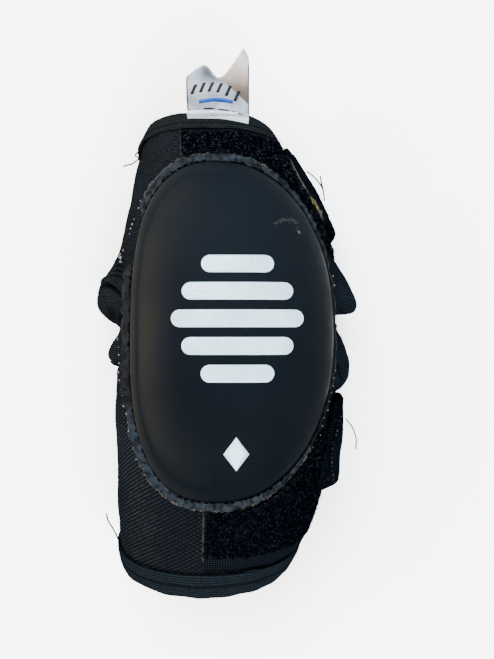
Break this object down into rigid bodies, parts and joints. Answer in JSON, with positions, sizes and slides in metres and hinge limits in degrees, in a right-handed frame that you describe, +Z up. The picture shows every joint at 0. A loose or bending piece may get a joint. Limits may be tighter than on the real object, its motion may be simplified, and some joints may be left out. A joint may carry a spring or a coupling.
{
  "type": "elbow pad",
  "caption": "Padded tube for an elbow with a domed oval cap, loop patches, elastic straps and a hanging loop, lying on its back.",
  "frame": {"origin": "middle of the pad's extent across and along the arm, on the surface it rests on", "axes": "+X across the arm towards the side where the straps close, +Y along the arm towards the hanging loop, +Z up through the cap"},
  "size_m": [0.145, 0.2802, 0.0997],
  "materials": {
    "cover": "ribbed weave, matt",
    "binding": "ribbed tape, matt",
    "cap_leather": "satin, fine orange peel",
    "welt_leather": "satin",
    "pile": "looped pile, matt",
    "webbing": "ribbed elastic, matt",
    "label": "woven tape, semi-gloss"
  },
  "bodies": {
    "root": {"sleeve": "cover", "lower_hem": "binding", "upper_hem": "binding", "elbow_cap": "cap_leather", "cap_welt": "welt_leather", "upper_loop_patch": "pile", "lower_loop_patch": "pile", "upper_strap": "webbing", "forearm_strap": "webbing", "hanging_loop": "label"}
  },
  "joints": []
}
